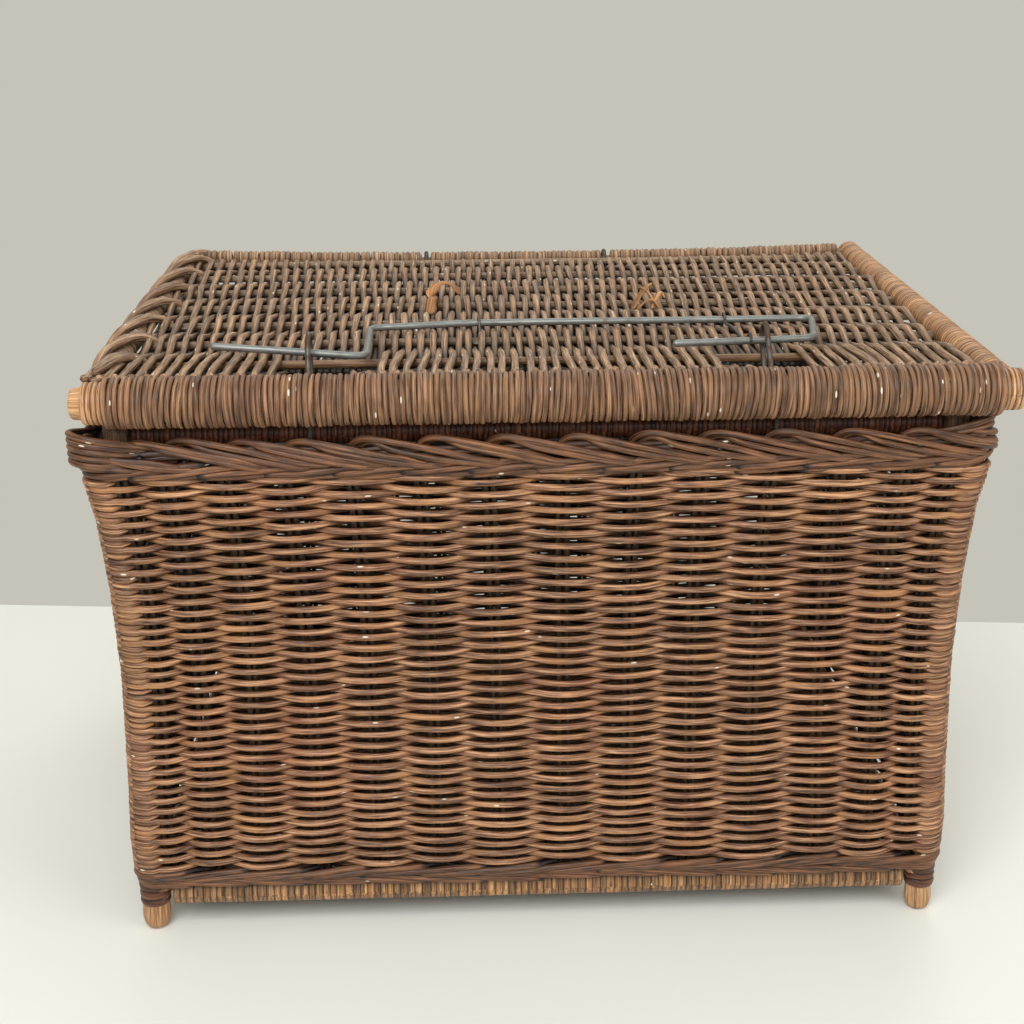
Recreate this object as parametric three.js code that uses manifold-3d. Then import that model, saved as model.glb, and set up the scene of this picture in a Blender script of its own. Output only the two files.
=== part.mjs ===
// Cane laundry hamper with a hinged lid and a sliding lock bar.
//
// Millimetres, +Z up, front towards -Y. Everything is laid out about the middle of the basket on the
// ground, and the whole object is then moved so that its origin is the middle of its bounding box, at
// the bottom.
//
// Three bodies: the basket, the lid, which turns on the axis of its own back rail inside two wire rings,
// and the lock bar, which slides along X on the lid.

import * as THREE from 'three';
import { mergeVertices } from 'three/addons/utils/BufferGeometryUtils.js';
import Module from 'manifold-3d';

// ---------- driving dimensions ----------

const GAP = 0.3; // clearance between pieces that touch

// basket plan: the depth is the width less this, at every height
const WIDTH_LESS_DEPTH = 133;
const BORDER_WIDTH = 594;
const CORNER_RADIUS = 16;
const BORDER_CORNER_RADIUS = 26;

// half of the basket's outside width at each height of the woven wall
const WALL_PROFILE = [
  { z: 39, half: 282 },
  { z: 50, half: 285 },
  { z: 75, half: 285.5 },
  { z: 120, half: 283.5 },
  { z: 200, half: 281.5 },
  { z: 260, half: 283 },
  { z: 310, half: 286.5 },
  { z: 341, half: 291.5 },
];
const WALL_THICKNESS = 12;

// heights
const WALE_BOTTOM = 39;
const WALE_TOP = 50;
const BORDER_BOTTOM = 341;
const BORDER_TOP = 374;
const BORDER_THICKNESS = 16;
const LID_AXIS_Z = 392;

// corner posts and the rails between them
const POST_X = 268;
const POST_Y = POST_X - WIDTH_LESS_DEPTH / 2;
const POST_RADIUS = 9.5;
const POST_TOP = 376;
const TOP_RAIL_Z = 365.5;
const TOP_RAIL_RADIUS = 8;
const BOTTOM_RAIL_Z = 28;
const BOTTOM_RAIL_RADIUS = 9.5;

// floor
const FLOOR_THICKNESS = 7;
const BASE_STICK_RADIUS = 6;
const BASE_STICK_COUNT = 5;
const BASE_STICK_PITCH = 84;

// lid: it sits a little to the right of the basket
const LID_SHIFT_X = 9.5;
const POLE_Y = -222;
const POLE_RADIUS = 12;
const POLE_LENGTH = 600;
const ROLL_RADIUS = 16.5;
const ROLL_LENGTH = 557;
const BACK_RAIL_Y = 218;
const BACK_RAIL_RADIUS = 7.5;
const BACK_WRAP_RADIUS = 11.5;
const SIDE_RAIL_RADIUS = 7;
const SIDE_WRAP_RADIUS = 9.8;
const SIDE_RAIL_X = 286.2;
const PANEL_THICKNESS = 13;
const CROSS_ROD_COUNT = 7;
const CROSS_ROD_RADIUS = 2.8;
const CROSS_ROD_FIRST_Y = -136;
const CROSS_ROD_PITCH = 56;

// slots in the lid, between the roll and the first cross rod
const SLOT_LENGTH = 57;
const SLOT_CENTRE_X = [-136.5, 146.5];
const SLOT_BACK_Y = -141;

// wire parts
const WIRE = 4;
const EYE_X = [-146, 150];
const EYE_TOP_Y = [-175, -166];
const EYE_TOP_Z = 413;
const EYE_TOP_RADIUS = 7.2;
const RING_X = [-78.5, 77.5];
const RING_NOTCH = 10;
const KEEPER_X = [-36.5, 137.5];
const KEEPER_WIRE = 3;

// lock bar
const BAR_RADIUS = 2.4;
const BAR_MID_Y = -72;
const BAR_MID_Z = LID_AXIS_Z + PANEL_THICKNESS / 2 + BAR_RADIUS + 2.5;
const PRONG_Y = -172;
const PRONG_Z = 411.5;

// curled stubs of the lid handle
const STUB_X = [-70, 85];
const STUB_Y = [17, 7];

// ---------- materials ----------

function material(color, roughness, metalness = 0) {
  return () => new THREE.MeshStandardMaterial({ color, roughness, metalness });
}

const bodyReed = material('#6b4a36', 0.72);
const borderReed = material('#644433', 0.7);
const lidReed = material('#7d6450', 0.8);
const rollReed = material('#7a5a42', 0.7);
const pole = material('#a8804f', 0.65);
const cane = material('#8c6740', 0.6);
const darkCane = material('#5a3120', 0.6);
const steel = material('#8a8c8a', 0.45, 0.85);
const rustyWire = material('#5d554c', 0.6, 0.75);
const strap = material('#b0793f', 0.6);

// ---------- geometry helpers ----------

const wasm = await Module();
wasm.setup();

function toSolid(geometry) {
  const bare = geometry.clone();
  bare.deleteAttribute('normal');
  bare.deleteAttribute('uv');
  const merged = mergeVertices(bare, 1e-4);
  return new wasm.Manifold(new wasm.Mesh({
    numProp: 3,
    vertProperties: new Float32Array(merged.attributes.position.array),
    triVerts: new Uint32Array(merged.index.array),
  }));
}

function toGeometry(solid) {
  const mesh = solid.getMesh();
  const geometry = new THREE.BufferGeometry();
  geometry.setAttribute('position', new THREE.BufferAttribute(new Float32Array(mesh.vertProperties), 3));
  geometry.setIndex(new THREE.BufferAttribute(new Uint32Array(mesh.triVerts), 1));
  return geometry;
}

// a solid round rod along one axis
function rod(radius, length, axis, x, y, z, sides = 14) {
  const geometry = new THREE.CylinderGeometry(radius, radius, length, sides);
  if (axis === 'x') geometry.rotateZ(-Math.PI / 2);
  if (axis === 'z') geometry.rotateX(Math.PI / 2);
  return geometry.translate(x, y, z);
}

// a sleeve round a rod, open right through
function sleeve(outer, inner, length, axis, x, y, z, sides = 16) {
  const half = length / 2;
  const profile = [[inner, -half], [outer, -half], [outer, half], [inner, half], [inner, -half]];
  const points = profile.map(([r, h]) => new THREE.Vector2(r, h));
  const geometry = new THREE.LatheGeometry(points, sides);
  if (axis === 'x') geometry.rotateZ(-Math.PI / 2);
  return geometry.translate(x, y, z);
}

function box(x0, x1, y0, y1, z0, z1) {
  const geometry = new THREE.BoxGeometry(x1 - x0, y1 - y0, z1 - z0);
  return geometry.translate((x0 + x1) / 2, (y0 + y1) / 2, (z0 + z1) / 2);
}

// the corners of a rounded rectangle, anticlockwise
function roundedRectangle(halfX, halfY, radius, cornerSteps = 4) {
  const points = [];
  const centres = [[1, 1, 0], [-1, 1, 90], [-1, -1, 180], [1, -1, 270]];
  for (const [sx, sy, startDegrees] of centres) {
    for (let step = 0; step <= cornerSteps; step += 1) {
      const angle = THREE.MathUtils.degToRad(startDegrees + (90 * step) / cornerSteps);
      points.push([
        sx * (halfX - radius) + radius * Math.cos(angle),
        sy * (halfY - radius) + radius * Math.sin(angle),
      ]);
    }
  }
  return points;
}

// a closed solid through a stack of rounded rectangles: [{ z, half, radius }, ...]
function loft(sections) {
  const positions = [];
  const index = [];
  const count = roundedRectangle(1, 1, 0).length;
  for (const { z, half, radius } of sections) {
    for (const [x, y] of roundedRectangle(half, half - WIDTH_LESS_DEPTH / 2, radius)) {
      positions.push(x, y, z);
    }
  }
  for (let level = 0; level + 1 < sections.length; level += 1) {
    for (let k = 0; k < count; k += 1) {
      const a = level * count + k;
      const b = level * count + ((k + 1) % count);
      index.push(a, b, b + count, a, b + count, a + count);
    }
  }
  const top = (sections.length - 1) * count;
  for (let k = 1; k + 1 < count; k += 1) {
    index.push(0, k + 1, k, top, top + k, top + k + 1);
  }
  const geometry = new THREE.BufferGeometry();
  geometry.setAttribute('position', new THREE.Float32BufferAttribute(positions, 3));
  geometry.setIndex(index);
  return geometry;
}

// half of the outside width at any height
function halfWidthAt(z) {
  const upper = WALL_PROFILE.findIndex((row) => row.z >= z);
  if (upper <= 0) return WALL_PROFILE[upper === 0 ? 0 : WALL_PROFILE.length - 1].half;
  const low = WALL_PROFILE[upper - 1];
  const high = WALL_PROFILE[upper];
  return THREE.MathUtils.mapLinear(z, low.z, high.z, low.half, high.half);
}

function wallSections(bottom, top, inset, radius) {
  const heights = WALL_PROFILE.map((row) => row.z).filter((z) => z > bottom && z < top);
  return [bottom, ...heights, top].map((z) => ({ z, half: halfWidthAt(z) - inset, radius }));
}

// the woven ring round the posts between two heights
function wovenRing(bottom, top) {
  const outside = toSolid(loft(wallSections(bottom, top, 0, CORNER_RADIUS)));
  const insideSections = wallSections(bottom, top, WALL_THICKNESS, CORNER_RADIUS / 4);
  insideSections[0].z -= 1;
  insideSections[insideSections.length - 1].z += 1;
  let ring = outside.subtract(toSolid(loft(insideSections)));
  for (const sx of [-1, 1]) {
    for (const sy of [-1, 1]) {
      ring = ring.subtract(toSolid(
        rod(POST_RADIUS + 0.4, POST_TOP, 'z', sx * POST_X, sy * POST_Y, POST_TOP / 2, 16),
      ));
    }
  }
  return ring;
}

function borderRing() {
  const half = BORDER_WIDTH / 2;
  const bulge = 3;
  const outside = toSolid(loft([
    { z: BORDER_BOTTOM, half: half - bulge, radius: BORDER_CORNER_RADIUS },
    { z: BORDER_BOTTOM + 9, half, radius: BORDER_CORNER_RADIUS },
    { z: BORDER_TOP - 9, half, radius: BORDER_CORNER_RADIUS },
    { z: BORDER_TOP, half: half - 2 * bulge, radius: BORDER_CORNER_RADIUS },
  ]));
  const innerHalf = half - BORDER_THICKNESS;
  let ring = outside.subtract(toSolid(loft([
    { z: BORDER_BOTTOM - 1, half: innerHalf, radius: POST_RADIUS + 0.5 },
    { z: BORDER_TOP + 1, half: innerHalf, radius: POST_RADIUS + 0.5 },
  ])));
  // each hinge ring passes between the border's strands
  const inside = innerHalf - WIDTH_LESS_DEPTH / 2 - 1;
  for (const x of RING_X) {
    const passage = box(x - WIRE, x + WIRE, inside, inside + 11.5, BORDER_BOTTOM + 2, BORDER_TOP + 1);
    ring = ring.subtract(toSolid(passage));
  }
  return ring;
}

// a four-sided prism that keeps one side of a ring, cut at 45 degrees through the corner posts
function sideWedge(side) {
  const reach = 80;
  const x = POST_X;
  const y = POST_Y;
  const outlines = {
    front: [[-x, -y], [-x - reach, -y - reach], [x + reach, -y - reach], [x, -y]],
    back: [[x, y], [x + reach, y + reach], [-x - reach, y + reach], [-x, y]],
    left: [[-x, y], [-x - reach, y + reach], [-x - reach, -y - reach], [-x, -y]],
    right: [[x, -y], [x + reach, -y - reach], [x + reach, y + reach], [x, y]],
  };
  const push = { front: [0, -1], back: [0, 1], left: [-1, 0], right: [1, 0] }[side];
  const shape = new THREE.Shape(outlines[side].map(
    ([px, py]) => new THREE.Vector2(px + push[0] * GAP, py + push[1] * GAP),
  ));
  const height = 500;
  return toSolid(new THREE.ExtrudeGeometry(shape, { depth: height, bevelEnabled: false }));
}

// a flat wire loop round two circles in the YZ plane, at one x
function wireLoop(x, wire, low, lowRadius, high, highRadius) {
  const centres = [new THREE.Vector2(low.y, low.z), new THREE.Vector2(high.y, high.z)];
  const along = centres[1].clone().sub(centres[0]);
  const direction = along.angle();
  const turn = Math.acos((lowRadius - highRadius) / along.length());
  function outline(grow) {
    const path = new THREE.Shape();
    path.absarc(low.y, low.z, lowRadius + grow, direction + turn, direction - turn + 2 * Math.PI);
    path.absarc(high.y, high.z, highRadius + grow, direction - turn, direction + turn);
    return path;
  }
  const shape = outline(wire);
  shape.holes.push(new THREE.Path(outline(0).getPoints(5)));
  const bevel = wire * 0.28;
  const geometry = new THREE.ExtrudeGeometry(shape, {
    depth: wire - 2 * bevel,
    curveSegments: 5,
    bevelSegments: 1,
    bevelThickness: bevel,
    bevelSize: bevel,
    bevelOffset: -bevel,
  });
  geometry.translate(0, 0, -(wire - 2 * bevel) / 2);
  geometry.applyMatrix4(new THREE.Matrix4().makeBasis(
    new THREE.Vector3(0, 1, 0), new THREE.Vector3(0, 0, 1), new THREE.Vector3(1, 0, 0),
  ));
  return geometry.translate(x, 0, 0);
}

// straight runs joined by round bends
function bentPath(points, bendRadius) {
  const path = new THREE.CurvePath();
  let from = points[0];
  for (let k = 1; k + 1 < points.length; k += 1) {
    const corner = points[k];
    const before = corner.clone().add(points[k - 1].clone().sub(corner).setLength(bendRadius));
    const after = corner.clone().add(points[k + 1].clone().sub(corner).setLength(bendRadius));
    path.add(new THREE.LineCurve3(from, before));
    path.add(new THREE.QuadraticBezierCurve3(before, corner, after));
    from = after;
  }
  path.add(new THREE.LineCurve3(from, points[points.length - 1]));
  return path;
}

function tubeAlong(path, radius, steps, sides = 8) {
  const section = new THREE.Shape();
  for (let k = 0; k < sides; k += 1) {
    const angle = (2 * Math.PI * k) / sides;
    section[k ? 'lineTo' : 'moveTo'](radius * Math.cos(angle), radius * Math.sin(angle));
  }
  section.closePath();
  return new THREE.ExtrudeGeometry(section, { extrudePath: path, steps, curveSegments: 1 });
}

// ---------- assembly ----------

const hamper = new THREE.Group();
const basket = new THREE.Group();
const lid = new THREE.Group();
const lock = new THREE.Group();
hamper.add(basket, lid, lock);

function place(group, name, geometry, makeMaterial) {
  const mesh = new THREE.Mesh(geometry, makeMaterial());
  mesh.name = name;
  group.add(mesh);
}

const SIDES = ['front', 'back', 'left', 'right'];

function addCornerPosts() {
  for (const [x, sideX] of [[-POST_X, 'left'], [POST_X, 'right']]) {
    for (const [y, sideY] of [[-POST_Y, 'front'], [POST_Y, 'back']]) {
      const post = rod(POST_RADIUS, POST_TOP, 'z', x, y, POST_TOP / 2, 16);
      place(basket, `corner_post_${sideY}_${sideX}`, post, pole);
    }
  }
}

function addRails(prefix, radius, z, makeMaterial) {
  const clear = POST_RADIUS + GAP;
  const lengthX = 2 * (POST_X - clear);
  const lengthY = 2 * (POST_Y - clear);
  for (const [name, y] of [['front', -POST_Y], ['back', POST_Y]]) {
    place(basket, `${prefix}_rail_${name}`, rod(radius, lengthX, 'x', 0, y, z), makeMaterial);
  }
  for (const [name, x] of [['left', -POST_X], ['right', POST_X]]) {
    place(basket, `${prefix}_rail_${name}`, rod(radius, lengthY, 'y', x, 0, z), makeMaterial);
  }
}

function addWovenSides() {
  const wale = wovenRing(WALE_BOTTOM, WALE_TOP - GAP);
  const wall = wovenRing(WALE_TOP, BORDER_BOTTOM - GAP);
  const border = borderRing();
  for (const side of SIDES) {
    const wedge = sideWedge(side);
    place(basket, `bottom_wale_${side}`, toGeometry(wale.intersect(wedge)), bodyReed);
    place(basket, `woven_wall_${side}`, toGeometry(wall.intersect(wedge)), bodyReed);
    place(basket, `top_border_${side}`, toGeometry(border.intersect(wedge)), borderReed);
  }
}

function addFloor() {
  const bottom = BOTTOM_RAIL_Z + BOTTOM_RAIL_RADIUS + GAP;
  const half = halfWidthAt(bottom) - WALL_THICKNESS - GAP;
  let plate = toSolid(loft([
    { z: bottom, half, radius: 2 },
    { z: bottom + FLOOR_THICKNESS, half, radius: 2 },
  ]));
  const notch = POST_RADIUS + 1;
  for (const sx of [-1, 1]) {
    for (const sy of [-1, 1]) {
      plate = plate.subtract(toSolid(rod(notch, 40, 'z', sx * POST_X, sy * POST_Y, bottom, 16)));
    }
  }
  place(basket, 'woven_floor', toGeometry(plate), bodyReed);

  const length = 2 * (POST_Y - BOTTOM_RAIL_RADIUS - GAP);
  for (let k = 0; k < BASE_STICK_COUNT; k += 1) {
    const x = (k - (BASE_STICK_COUNT - 1) / 2) * BASE_STICK_PITCH;
    const z = bottom - GAP - BASE_STICK_RADIUS;
    place(basket, `base_stick_${k + 1}`, rod(BASE_STICK_RADIUS, length, 'y', x, 0, z, 12), pole);
  }
}

function addHaspEyes() {
  const rail = { y: -POST_Y, z: TOP_RAIL_Z };
  EYE_X.forEach((x, k) => {
    const top = { y: EYE_TOP_Y[k], z: EYE_TOP_Z };
    const eye = wireLoop(x, WIRE, rail, TOP_RAIL_RADIUS + 0.6, top, EYE_TOP_RADIUS);
    place(basket, `hasp_eye_${k ? 'right' : 'left'}`, eye, rustyWire);
  });
}

function addHingeRings() {
  const basketRail = { y: POST_Y, z: TOP_RAIL_Z };
  const lidRail = { y: BACK_RAIL_Y, z: LID_AXIS_Z };
  RING_X.forEach((x, k) => {
    const ring = wireLoop(x, WIRE, basketRail, TOP_RAIL_RADIUS + 0.6, lidRail, BACK_RAIL_RADIUS + 0.8);
    place(basket, `hinge_ring_${k ? 'right' : 'left'}`, ring, rustyWire);
  });
}

function addLidFrame() {
  const x = LID_SHIFT_X;
  const z = LID_AXIS_Z;
  place(lid, 'lid_front_pole', rod(POLE_RADIUS, POLE_LENGTH, 'x', x, POLE_Y, z, 16), pole);
  const roll = sleeve(ROLL_RADIUS, POLE_RADIUS + GAP, ROLL_LENGTH, 'x', x, POLE_Y, z, 20);
  place(lid, 'lid_front_roll', roll, rollReed);

  const railLength = 2 * (SIDE_RAIL_X - SIDE_WRAP_RADIUS);
  const backRail = rod(BACK_RAIL_RADIUS, railLength + 2 * SIDE_WRAP_RADIUS, 'x', x, BACK_RAIL_Y, z, 16);
  place(lid, 'lid_back_rail', backRail, pole);

  const sideFront = POLE_Y + ROLL_RADIUS + GAP;
  const sideBack = BACK_RAIL_Y - BACK_RAIL_RADIUS - GAP;
  const middle = (sideFront + sideBack) / 2;
  for (const [name, sign] of [['left', -1], ['right', 1]]) {
    const railX = x + sign * SIDE_RAIL_X;
    const length = sideBack - sideFront;
    place(lid, `lid_side_rail_${name}`, rod(SIDE_RAIL_RADIUS, length, 'y', railX, middle, z), pole);
    const wrapLength = length - 6;
    const wrap = sleeve(SIDE_WRAP_RADIUS, SIDE_RAIL_RADIUS + GAP, wrapLength, 'y', railX, middle, z);
    place(lid, `lid_side_wrap_${name}`, wrap, cane);
  }
}

// reed turns on the back rail, with room for the hinge rings between them
function addBackWraps() {
  const end = SIDE_RAIL_X - SIDE_WRAP_RADIUS - 2;
  const halfNotch = RING_NOTCH / 2;
  const stretches = [
    ['left', LID_SHIFT_X - end, RING_X[0] - halfNotch],
    ['middle', RING_X[0] + halfNotch, RING_X[1] - halfNotch],
    ['right', RING_X[1] + halfNotch, LID_SHIFT_X + end],
  ];
  for (const [name, x0, x1] of stretches) {
    const inner = BACK_RAIL_RADIUS + GAP;
    const wrap = sleeve(
      BACK_WRAP_RADIUS, inner, x1 - x0, 'x', (x0 + x1) / 2, BACK_RAIL_Y, LID_AXIS_Z,
    );
    place(lid, `lid_back_wrap_${name}`, wrap, lidReed);
  }
}

function addLidPanel() {
  const halfWidth = SIDE_RAIL_X - SIDE_WRAP_RADIUS - GAP;
  const halfThick = PANEL_THICKNESS / 2;
  const x0 = LID_SHIFT_X - halfWidth;
  const x1 = LID_SHIFT_X + halfWidth;
  const front = POLE_Y + ROLL_RADIUS + GAP;
  const back = BACK_RAIL_Y - BACK_WRAP_RADIUS - GAP;
  let panel = toSolid(box(x0, x1, front, back, LID_AXIS_Z - halfThick, LID_AXIS_Z + halfThick));

  const low = LID_AXIS_Z - PANEL_THICKNESS;
  const high = LID_AXIS_Z + PANEL_THICKNESS;
  for (const centre of SLOT_CENTRE_X) {
    const half = SLOT_LENGTH / 2;
    const slot = box(centre - half, centre + half, POLE_Y, SLOT_BACK_Y, low, high);
    panel = panel.subtract(toSolid(slot));
  }
  for (const x of RING_X) {
    const half = RING_NOTCH / 2;
    const notch = box(x - half, x + half, back - 12, back + 5, low, high);
    panel = panel.subtract(toSolid(notch));
  }
  for (let k = 0; k < CROSS_ROD_COUNT; k += 1) {
    const y = CROSS_ROD_FIRST_Y + k * CROSS_ROD_PITCH;
    const bore = rod(CROSS_ROD_RADIUS + GAP, 2 * halfWidth + 10, 'x', LID_SHIFT_X, y, LID_AXIS_Z, 12);
    panel = panel.subtract(toSolid(bore));
    const stick = rod(CROSS_ROD_RADIUS, 2 * halfWidth, 'x', LID_SHIFT_X, y, LID_AXIS_Z, 12);
    place(lid, `lid_cross_rod_${k + 1}`, stick, lidReed);
  }
  place(lid, 'lid_woven_panel', toGeometry(panel), lidReed);
}

// staples that straddle the bar, standing on the panel
function addKeepers() {
  const foot = LID_AXIS_Z + PANEL_THICKNESS / 2 + GAP;
  const inner = BAR_RADIUS + 1.2;
  KEEPER_X.forEach((x, k) => {
    const shape = new THREE.Shape();
    const outer = inner + KEEPER_WIRE;
    shape.moveTo(BAR_MID_Y - outer, foot);
    shape.lineTo(BAR_MID_Y - inner, foot);
    shape.lineTo(BAR_MID_Y - inner, BAR_MID_Z);
    shape.absarc(BAR_MID_Y, BAR_MID_Z, inner, Math.PI, 0, true);
    shape.lineTo(BAR_MID_Y + inner, foot);
    shape.lineTo(BAR_MID_Y + outer, foot);
    shape.lineTo(BAR_MID_Y + outer, BAR_MID_Z);
    shape.absarc(BAR_MID_Y, BAR_MID_Z, outer, 0, Math.PI, false);
    const staple = new THREE.ExtrudeGeometry(shape, {
      depth: KEEPER_WIRE, curveSegments: 6, bevelEnabled: false,
    });
    staple.applyMatrix4(new THREE.Matrix4().makeBasis(
      new THREE.Vector3(0, 1, 0), new THREE.Vector3(0, 0, 1), new THREE.Vector3(1, 0, 0),
    ));
    staple.translate(x - KEEPER_WIRE / 2, 0, 0);
    place(lid, `bar_keeper_${k ? 'right' : 'left'}`, staple, rustyWire);
  });
}

// short curled strips that stand on the panel
function addHandleStubs() {
  const foot = LID_AXIS_Z + PANEL_THICKNESS / 2 + GAP;
  const thickness = 2.4;
  const width = 9;
  STUB_X.forEach((x, k) => {
    const radius = 7;
    const shape = new THREE.Shape();
    shape.moveTo(-thickness, 0);
    shape.lineTo(0, 0);
    shape.lineTo(0, 6);
    shape.absarc(radius, 6, radius, Math.PI, Math.PI * 0.1, true);
    shape.absarc(radius, 6, radius + thickness, Math.PI * 0.1, Math.PI, false);
    const strip = new THREE.ExtrudeGeometry(shape, {
      depth: width, curveSegments: 8, bevelEnabled: false,
    });
    strip.rotateX(Math.PI / 2);
    strip.translate(x, STUB_Y[k] + width / 2, foot);
    place(lid, `handle_stub_${k ? 'right' : 'left'}`, strip, strap);
  });
}

function addLockBar() {
  const point = (x, y, z) => new THREE.Vector3(x, y, z);
  const path = bentPath([
    point(-210, PRONG_Y - 0.5, PRONG_Z),
    point(-110, PRONG_Y - 6, PRONG_Z),
    point(-112.5, BAR_MID_Y, BAR_MID_Z),
    point(202.5, BAR_MID_Y, BAR_MID_Z),
    point(185, PRONG_Y + 10, PRONG_Z),
    point(91, PRONG_Y, PRONG_Z),
  ], 12);
  place(lock, 'lock_bar', tubeAlong(path, BAR_RADIUS, 64), steel);
}

addCornerPosts();
addRails('bottom', BOTTOM_RAIL_RADIUS, BOTTOM_RAIL_Z, cane);
addRails('top', TOP_RAIL_RADIUS, TOP_RAIL_Z, darkCane);
addWovenSides();
addFloor();
addHaspEyes();
addHingeRings();
addLidFrame();
addBackWraps();
addLidPanel();
addKeepers();
addHandleStubs();
addLockBar();

// the origin is the middle of the bounding box, on the ground
const bounds = new THREE.Box3().setFromObject(hamper);
const centre = bounds.getCenter(new THREE.Vector3());
hamper.position.set(-centre.x, -centre.y, -bounds.min.z);
hamper.updateMatrixWorld(true);

export default hamper;
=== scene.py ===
"""Looks of the cane laundry hamper: real weave, borders, wrappings, wire and materials round the CAD frame.

Lengths are in millimetres about the middle of the basket on the ground, in the CAD frame's directions,
until make_piece() turns them into metres.
"""

import math

import bpy
import numpy as np
from mathutils import Matrix, Vector


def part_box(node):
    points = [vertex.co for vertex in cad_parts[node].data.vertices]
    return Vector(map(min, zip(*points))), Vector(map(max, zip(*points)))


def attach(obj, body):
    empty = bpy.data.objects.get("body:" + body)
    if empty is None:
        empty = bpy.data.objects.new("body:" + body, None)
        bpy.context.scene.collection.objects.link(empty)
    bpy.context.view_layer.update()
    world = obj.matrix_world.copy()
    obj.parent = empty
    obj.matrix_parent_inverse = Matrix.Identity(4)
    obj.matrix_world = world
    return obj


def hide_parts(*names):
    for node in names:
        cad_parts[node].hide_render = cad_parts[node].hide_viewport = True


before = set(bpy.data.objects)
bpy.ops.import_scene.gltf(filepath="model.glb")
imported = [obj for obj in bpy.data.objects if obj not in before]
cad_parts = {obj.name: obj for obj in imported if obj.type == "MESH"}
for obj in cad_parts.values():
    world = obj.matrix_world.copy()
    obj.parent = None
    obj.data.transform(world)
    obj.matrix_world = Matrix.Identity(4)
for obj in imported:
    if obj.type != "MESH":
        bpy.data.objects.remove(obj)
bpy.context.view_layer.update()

# ---------- places taken from the frame ----------


def node_box(*nodes):
    """Lowest and highest corner of some CAD nodes together, in metres."""
    lows, highs = zip(*(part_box(node) for node in nodes))
    return np.min(np.array(lows), 0), np.max(np.array(highs), 0)


POSTS = [f"corner_post_{fb}_{lr}" for fb in ("front", "back") for lr in ("left", "right")]
ORIGIN = sum(node_box(*POSTS)) / 2 * (1, 1, 0)


class Box:
    """The box round some CAD nodes, in millimetres about the basket's middle."""

    def __init__(self, *nodes):
        low, high = node_box(*nodes)
        self.low = (low - ORIGIN) * 1000
        self.high = (high - ORIGIN) * 1000
        self.middle = (self.low + self.high) / 2
        self.half = (self.high - self.low) / 2


# heights and half widths of the woven wall's outside, which is pinched in below the middle
PROFILE_Z = (39, 50, 75, 120, 200, 260, 310, 341)
PROFILE_HALF = (282, 285, 285.5, 283.5, 281.5, 283, 286.5, 291.5)
POST = Box(POSTS[3])
BORDER_BOX = Box("top_border_left", "top_border_right")
POLE = Box("lid_front_pole")
ROLL = Box("lid_front_roll")
BACK_RAIL = Box("lid_back_rail")
PANEL = Box("lid_woven_panel")
BAR = Box("lock_bar")
RODS = [f"lid_cross_rod_{k}" for k in range(1, 8)]
ROD_Y = [Box(rod).middle[1] for rod in RODS]
LID_Z = POLE.middle[2]
BAR_RADIUS = 2.4
BAR_Y, BAR_Z = BAR.high[1] - BAR_RADIUS, BAR.low[2] + BAR_RADIUS  # the middle run, between the two bends
PRONG_Y, PRONG_Z = BAR.low[1] + BAR_RADIUS, BAR.high[2] - BAR_RADIUS

# ---------- weave sizes ----------

REED = 2.2  # radius of a weaver
STAKE = 2.25  # radius of a stake
STAKE_GAP = 4.8  # between the two rods of a stake
ROWS = 72
WALL_LOW, WALL_HIGH = 51.5, 342.0
ROW_CREEP = 0.075  # the rows are closer than average by this share at the bottom, wider at the top
DEPTH_OVER = 2.2  # from the outside of the wall to a weaver that passes in front of a stake
DEPTH_UNDER = 11.9  # the same, to one that passes behind
CORNER = 16.0  # radius of the wall's corners
# where the stakes stand along the front and back, high on the wall and low on it
HIGH_STAKES = (-255, -228, -192, -156, -115, -73, -31, 14, 59, 100, 142, 185, 226, 254)
LOW_STAKES = (-253, -224, -190, -150, -111, -70, -27, 17, 59, 101, 144, 188, 224, 254)
HIGH_Z, LOW_Z = 331, 82
SIDE_STAKES = (-191, -164, -123, -82, -41, 0, 41, 82, 123, 164, 191)
STRAND_PITCH = 4.45  # between the lid's strands
STRAND = 2.3  # their radius
SWELL = 0.16  # how much thicker they look where they bend over a rod
PITCH_SPREAD = 0.22  # they lie closer than average in the middle, wider at the sides
SAG = {"front": -0.3, "right": 0.2, "back": 0.9, "left": 0.2}  # how far strands hang in front of a stake
WALE_PERIOD = 3 * 41.4  # a wale's strand shows again after three stakes
BORDER_REED_RADIUS = 2.25

# ---------- camera and table ----------

CAMERA_PLACE = (-47.5, -1180.0, 668.0)
CAMERA_PITCH, CAMERA_HEADING, CAMERA_ROLL = 20.18, 1.74, -0.44  # degrees down, to the right, anticlockwise
CAMERA_LENS = 56.25
TABLE_REACH = 6.0  # metres to every side but the back
TABLE_BACK_LEFT, TABLE_BACK_RIGHT = 0.897, -0.226  # where its back edge ends, in metres

# ---------- mesh of strands ----------


def unit(v):
    return v / np.maximum(np.linalg.norm(v, axis=-1, keepdims=True), 1e-9)


def line(x, y, z):
    """Rows of points. A coordinate given as one number is the same for all of them."""
    return np.stack(np.broadcast_arrays(x, y, z), -1)


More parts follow.
